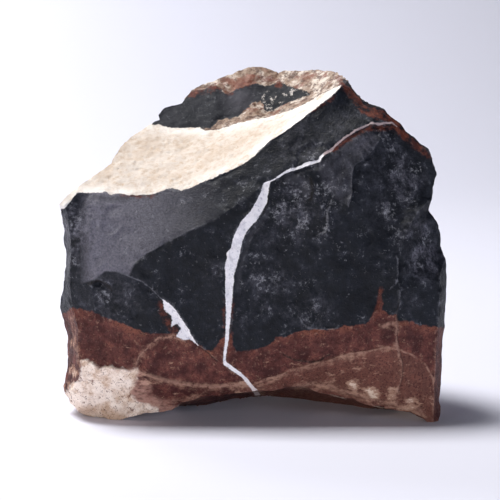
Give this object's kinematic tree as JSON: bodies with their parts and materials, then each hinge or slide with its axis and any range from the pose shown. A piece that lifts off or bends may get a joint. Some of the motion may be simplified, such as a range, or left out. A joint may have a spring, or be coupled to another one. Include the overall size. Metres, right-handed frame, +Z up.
{
  "type": "rough sardonyx",
  "caption": "Angular broken lump of rough sardonyx: dark dished fracture faces over a red-brown band, a pale sloping cortex on top, a thin white vein and an arched underside.",
  "frame": {"origin": "middle of the stone's box, on the surface it rests on", "axes": "+Z up, +X to the right along the broad front face, -Y out of that face"},
  "size_m": [0.0798, 0.0476, 0.0703],
  "materials": {
    "stone": "waxy blue-black broken chalcedony over a red-brown band, with a chalky cream cortex and white veins"
  },
  "bodies": {
    "root": {"stone": "stone"}
  },
  "joints": []
}
